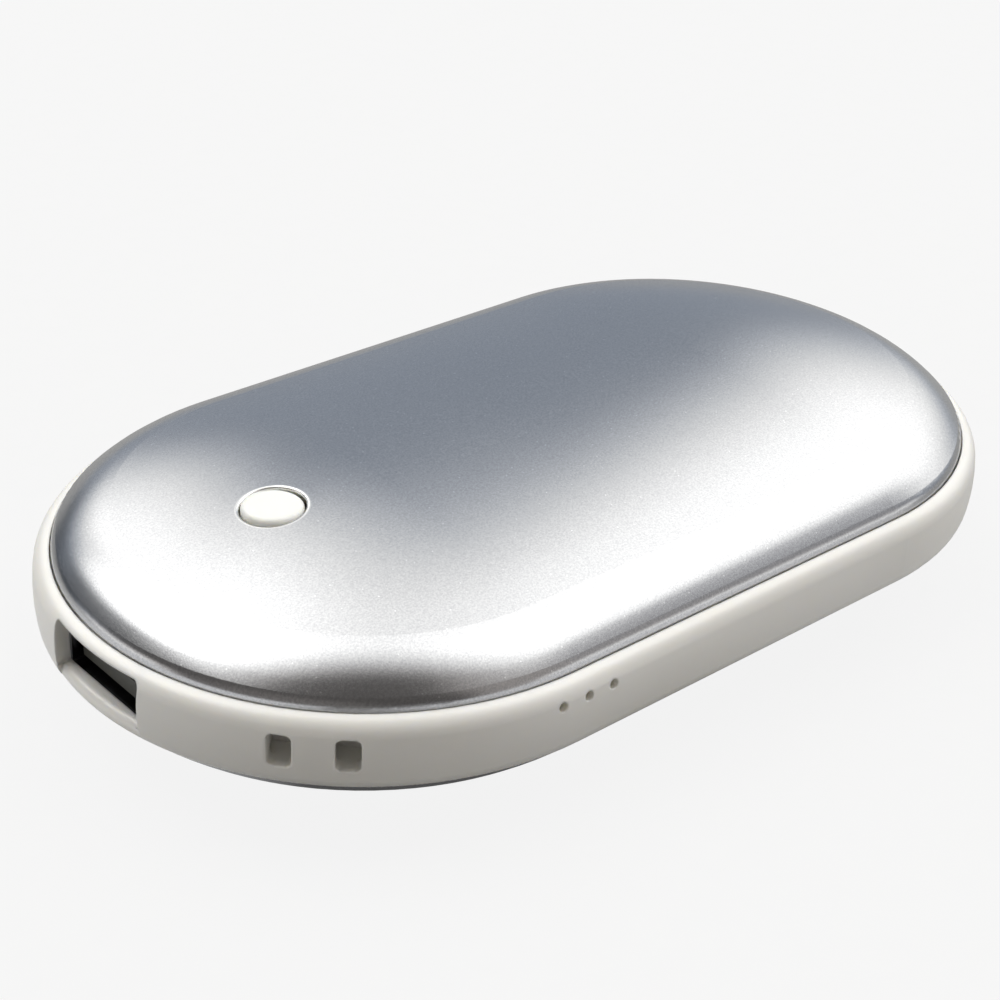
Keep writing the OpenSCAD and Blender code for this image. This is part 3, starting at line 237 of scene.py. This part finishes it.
# polyimide film, laminated over the heating tracks: a glossy orange-brown
dress(plain_finish("polyimide_film", "#d08a34", "#bf7a2a", grain_mm=2.0, roughness=0.25),
      "top_heater", "bottom_heater")
# epoxy, dipped over the sensor: glossy black
dress(plain_finish("black_epoxy_drop", "#1f1f21", "#171719", grain_mm=0.4, roughness=0.2),
      "thermistor")
# steel screws, zinc-plated: a bluish grey with a satin gloss
dress(plain_finish("zinc_plated_steel", "#b4b6b9", "#a3a5a9", grain_mm=0.3, roughness=0.35, metallic=1.0),
      "fixing_screws")


# Camera: azimuth, elevation and roll in degrees, the point looked at, distance and lens in mm

CAMERA_AZIMUTH = -42.389
CAMERA_ELEVATION = 30.107
CAMERA_ROLL = 2.834
CAMERA_DISTANCE = 222.2 * MM
CAMERA_NEAREST = 10 * MM
CAMERA_LENS = 75.6
CAMERA_SENSOR = 36
CAMERA_TARGET = Vector((-3.300, 1.409, 11.13)) * MM

azimuth = math.radians(CAMERA_AZIMUTH)
elevation = math.radians(CAMERA_ELEVATION)
camera_back = Vector((math.sin(azimuth) * math.cos(elevation), -math.cos(azimuth) * math.cos(elevation),
                      math.sin(elevation)))
camera_right = Vector((math.cos(azimuth), math.sin(azimuth), 0))
camera_up = camera_back.cross(camera_right)

camera_data = bpy.data.cameras.new("camera")
camera_data.lens = CAMERA_LENS
camera_data.sensor_width = CAMERA_SENSOR
camera_data.clip_start = CAMERA_NEAREST
camera = bpy.data.objects.new("camera", camera_data)
bpy.context.scene.collection.objects.link(camera)
facing = Matrix((camera_right, camera_up, camera_back)).transposed().to_4x4()
roll = Matrix.Rotation(math.radians(CAMERA_ROLL), 4, "Z")
camera.matrix_world = Matrix.Translation(CAMERA_TARGET + camera_back * CAMERA_DISTANCE) @ facing @ roll
bpy.context.scene.camera = camera


# Light

# All of it is a studio painted into the world, so that every light has soft edges: a broad light in
# the ceiling, a light on each side beyond the object and a low one on each side beside it. The walls
# are pale beyond the object and to the right, and dark behind the camera and to the left.

overhead = Vector((0, 0, 1))
away = overhead.cross(camera_right)

# edges of the ceiling's light, on a plane at unit height: place, slant and softness
CEILING_LEFT = -1.03, -0.74, 0.2
CEILING_RIGHT = 0.97, 0.4, -0.25
CEILING_NEAR = -0.2, 0.14, 0.74
CEILING_FAR = 0.79, -0.26, -2.6
CEILING_STRENGTH = 3.9
# the weaker strip down its middle: half width, where it is full and gone, and how much light it takes
STRIP_HALF_WIDTH, STRIP_FULL, STRIP_GONE, STRIP_LOSS = 0.38, 1.0, 1.6, 0.33
# where the near edge of the ceiling's light draws back: place, half width and how far
DENT_PLACE, DENT_HALF_WIDTH, DENT_DEPTH = 0.05, 0.66, 0.2
# how high above the table, as a sine, the ceiling's light is whole
HORIZON = 0.05
# side lights: turn from straight beyond the object and its softness, rise above the table and its
# softness, all in degrees, and strength; the low lights lie as far to the left as to the right
LEFT_LIGHT = (-45.5, -21.1), (41, 41), (14.7, 70.7), (28, 41), 2.85
RIGHT_LIGHT = (12.8, 72), (31, 31), (9.9, 80), (50, 31), 2.3
LOW_LIGHTS = (75, 118), (20, 20), (-12, 13), (4, 24), 1.4
# walls: strength near and far, how much being to the right counts as being far, and the span between
NEAR_WALL, FAR_WALL = 0.13, 0.5
WALL_TURN, WALL_SPAN = 1.32, (0.0, 0.29)
# a faint glow low behind the camera, to the left
GLOW_TURN, GLOW_RISE, GLOW_HALF_WIDTH, GLOW_STRENGTH = -155.6, 8, 56, 0.24
# tints of the walls and lights, from where to where the walls change theirs, and from which to which
# strength the lights' takes over
NEAR_TINT, FAR_TINT, LAMP_TINT = "#fff7f1", "#dde9fa", "#fffefb"
WALL_TINT_SPAN, LAMP_TINT_SPAN = (-0.35, 0.6), (0.2, 1.5)
# what the camera sees past the table's edge
BACKDROP = 0.93

world = bpy.data.worlds.new("studio")
bpy.context.scene.world = world
world.use_nodes = True
sky = world.node_tree
sky.nodes.clear()
looked_at = add(sky, "ShaderNodeTexCoord").outputs["Generated"]


def leaning(direction):
    """How far the looked-at direction leans along a direction, from -1 to 1."""
    return add(sky, "ShaderNodeVectorMath", {0: looked_at, 1: direction}, operation="DOT_PRODUCT")


def joined(operation, *values):
    """Joins numbers and nodes by one operation, from the first to the last."""
    result = values[0]
    for value in values[1:]:
        result = add(sky, "ShaderNodeMath", {0: result, 1: value}, operation=operation)
    return result


def soft_edge(value, start, end):
    """Rises softly from 0 at start to 1 at end, which may be the lower of the two."""
    return add(sky, "ShaderNodeMapRange", {"Value": value, "From Min": start, "From Max": end},
               interpolation_type="SMOOTHSTEP")


def slanted_edge(value, other, place, slant, soft):
    """Rises softly from 0 to 1 as the value passes a slanted line, or falls where soft is negative."""
    straight = add(sky, "ShaderNodeMath", {0: other, 1: -slant, 2: value}, operation="MULTIPLY_ADD")
    return soft_edge(straight, place - soft / 2, place + soft / 2)


def window(angle, span, soft):
    """1 inside a span of degrees, with a softness for each of its edges."""
    start, end, soft_start, soft_end = (math.radians(a) for a in span + soft)
    return joined("MULTIPLY", soft_edge(angle, start - soft_start / 2, start + soft_start / 2),
                  soft_edge(angle, end + soft_end / 2, end - soft_end / 2))


to_right, to_far, to_top = leaning(camera_right), leaning(away), leaning(overhead)
turn = add(sky, "ShaderNodeMath", {0: to_right, 1: to_far}, operation="ARCTAN2")
rise = add(sky, "ShaderNodeMath", {0: to_top}, operation="ARCSINE")


def ceiling_light():
    """The broad light overhead, weaker in a strip down its middle, its near edge drawn back there."""
    height = joined("MAXIMUM", to_top, HORIZON)
    across, beyond = joined("DIVIDE", to_right, height), joined("DIVIDE", to_far, height)
    from_strip = add(sky, "ShaderNodeMath", {0: across}, operation="ABSOLUTE")
    strip = joined("MULTIPLY", soft_edge(from_strip, STRIP_HALF_WIDTH, 0.0),
                   soft_edge(beyond, STRIP_GONE, STRIP_FULL))
    strip_share = add(sky, "ShaderNodeMath", {0: strip, 1: -STRIP_LOSS, 2: 1.0}, operation="MULTIPLY_ADD")
    from_dent = add(sky, "ShaderNodeMath", {0: joined("SUBTRACT", across, DENT_PLACE)}, operation="ABSOLUTE")
    dent = soft_edge(from_dent, DENT_HALF_WIDTH, 0.0)
    dented = add(sky, "ShaderNodeMath", {0: dent, 1: -DENT_DEPTH, 2: beyond}, operation="MULTIPLY_ADD")
    return joined("MULTIPLY",
                  slanted_edge(across, beyond, *CEILING_LEFT), slanted_edge(across, beyond, *CEILING_RIGHT),
                  slanted_edge(dented, across, *CEILING_NEAR), slanted_edge(beyond, across, *CEILING_FAR),
                  strip_share, soft_edge(to_top, 0.0, HORIZON), CEILING_STRENGTH)


def side_light(angle, turn_span, turn_soft, rise_span, rise_soft, strength):
    """A light beside or beyond the object, soft at its four edges."""
    return joined("MULTIPLY", window(angle, turn_span, turn_soft), window(rise, rise_span, rise_soft),
                  strength)


def walls():
    """The walls' strength, which rises from the near left to the far right."""
    depth = add(sky, "ShaderNodeMath", {0: to_right, 1: WALL_TURN, 2: to_far}, operation="MULTIPLY_ADD")
    near, far = WALL_SPAN
    return add(sky, "ShaderNodeMapRange", {"Value": depth, "From Min": near, "From Max": far,
                                           "To Min": NEAR_WALL, "To Max": FAR_WALL},
               interpolation_type="SMOOTHSTEP")


def low_glow():
    """The faint glow behind the camera, brightest in its middle."""
    turned, raised, half_width = (math.radians(a) for a in (GLOW_TURN, GLOW_RISE, GLOW_HALF_WIDTH))
    level = away * math.cos(turned) + camera_right * math.sin(turned)
    to_glow = leaning(level * math.cos(raised) + overhead * math.sin(raised))
    return joined("MULTIPLY", soft_edge(to_glow, math.cos(half_width), 1.0), GLOW_STRENGTH)


either_side = add(sky, "ShaderNodeMath", {0: turn}, operation="ABSOLUTE")
lamps = joined("MAXIMUM", ceiling_light(), side_light(turn, *LEFT_LIGHT), side_light(turn, *RIGHT_LIGHT),
               side_light(either_side, *LOW_LIGHTS))
wall_tint = add(sky, "ShaderNodeMixRGB", {"Fac": soft_edge(to_far, *WALL_TINT_SPAN),
                                          "Color1": colour(NEAR_TINT), "Color2": colour(FAR_TINT)})
tint = add(sky, "ShaderNodeMixRGB", {"Fac": soft_edge(lamps, *LAMP_TINT_SPAN), "Color1": wall_tint,
                                     "Color2": colour(LAMP_TINT)})
strength = joined("MAXIMUM", walls(), low_glow(), lamps)
studio = add(sky, "ShaderNodeBackground", {"Color": tint, "Strength": strength})
backdrop = add(sky, "ShaderNodeBackground", {"Color": colour("#ffffff"), "Strength": BACKDROP})
to_camera = add(sky, "ShaderNodeLightPath").outputs["Is Camera Ray"]
seen = add(sky, "ShaderNodeMixShader", {0: to_camera, 1: studio, 2: backdrop})
add(sky, "ShaderNodeOutputWorld", {"Surface": seen})


# Floor: a white table, nearly as white to the camera as the photograph's ground, with a soft shadow

FLOOR_RADIUS = 1200 * MM
FLOOR_SEGMENTS = 96
# the paint's grain, in mm
FLOOR_GRAIN = 3
# the share of even light of its own that the camera sees in it
FLOOR_OWN_LIGHT = 0.88
# that share as the metal and the port mirror it: on the near ground at either side, and elsewhere
MIRRORED_SIDES, MIRRORED_ELSEWHERE = 1.0, 0.08
# where the near ground begins and is full, and where the sides do, measured from the object's middle
NEAR_BEGINS, NEAR_FULL = 30 * MM, -30 * MM
SIDES_BEGIN, SIDES_FULL = 20 * MM, 50 * MM


def white_table():
    """A table top, painted white and rubbed down: matt, with a faint unevenness. An even light of its
    own lifts it towards white, and what is left of its paint shows the object's shadow."""
    material, tree, place = new_material("white_table")
    grain = add(tree, "ShaderNodeTexNoise", {"Vector": place, "Scale": per_mm(FLOOR_GRAIN), "Detail": 2.0})
    tint = add(tree, "ShaderNodeValToRGB", {"Fac": grain}, stops=[(0.3, "#949493"), (0.7, "#9a9a99")])
    paint = add(tree, "ShaderNodeBsdfPrincipled", {"Base Color": tint, "Roughness": 0.9})
    own_light = add(tree, "ShaderNodeEmission", {"Color": colour("#ffffff"), "Strength": 1.0})
    path = add(tree, "ShaderNodeLightPath")
    seen = add(tree, "ShaderNodeMath", {0: path.outputs["Is Camera Ray"], 1: FLOOR_OWN_LIGHT},
               operation="MULTIPLY")
    mirrored = add(tree, "ShaderNodeMath",
                   {0: path.outputs["Is Glossy Ray"], 1: path.outputs["Is Transmission Ray"]},
                   operation="MAXIMUM")
    beyond = add(tree, "ShaderNodeVectorMath", {0: place, 1: away}, operation="DOT_PRODUCT")
    near = add(tree, "ShaderNodeMapRange", {"Value": beyond, "From Min": NEAR_BEGINS, "From Max": NEAR_FULL})
    across = add(tree, "ShaderNodeVectorMath", {0: place, 1: camera_right}, operation="DOT_PRODUCT")
    aside = add(tree, "ShaderNodeMath", {0: across}, operation="ABSOLUTE")
    sides = add(tree, "ShaderNodeMapRange", {"Value": aside, "From Min": SIDES_BEGIN, "From Max": SIDES_FULL})
    open_ground = add(tree, "ShaderNodeMath", {0: near, 1: sides}, operation="MULTIPLY")
    lit = add(tree, "ShaderNodeMapRange",
              {"Value": open_ground, "To Min": MIRRORED_ELSEWHERE, "To Max": MIRRORED_SIDES})
    share = add(tree, "ShaderNodeMath", {0: mirrored, 1: lit, 2: seen}, operation="MULTIPLY_ADD")
    mixed = add(tree, "ShaderNodeMixShader", {0: share, 1: paint, 2: own_light})
    add(tree, "ShaderNodeOutputMaterial", {"Surface": mixed})
    return material


mesh = bpy.data.meshes.new("table")
shape = bmesh.new()
bmesh.ops.create_circle(shape, cap_ends=True, segments=FLOOR_SEGMENTS, radius=FLOOR_RADIUS)
shape.to_mesh(mesh)
shape.free()
mesh.materials.append(white_table())
table = bpy.data.objects.new("table", mesh)
bpy.context.scene.collection.objects.link(table)

bpy.context.scene.view_settings.view_transform = "Standard"
